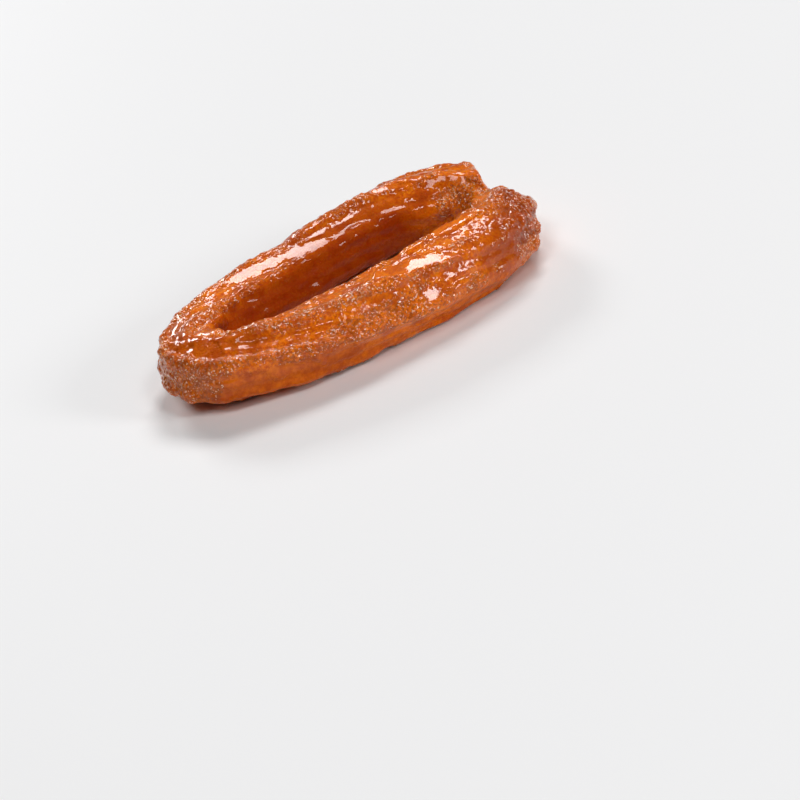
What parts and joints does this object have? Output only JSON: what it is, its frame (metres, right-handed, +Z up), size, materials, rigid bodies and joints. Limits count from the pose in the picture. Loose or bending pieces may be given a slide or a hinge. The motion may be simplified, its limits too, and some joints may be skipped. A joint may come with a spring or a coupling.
{
  "type": "ring cruller doughnut",
  "caption": "Deep-fried, syrup-glazed ring cruller: one rope of ridged dough bent into a long loop, its blunt ends pressed together.",
  "frame": {"origin": "on the surface that the ring lies on, under the middle of the ring's box", "axes": "+X along the loop, from its round bend towards the joined ends; +Y across it, towards the arm whose end is cut square; +Z up"},
  "size_m": [0.1052, 0.0572, 0.0189],
  "materials": {
    "fried_dough": "deep-fried dough soaked in syrup: amber to dark brown, blistered on the ridges, with a wet gloss"
  },
  "bodies": {
    "root": {"cruller": "fried_dough"}
  },
  "joints": []
}
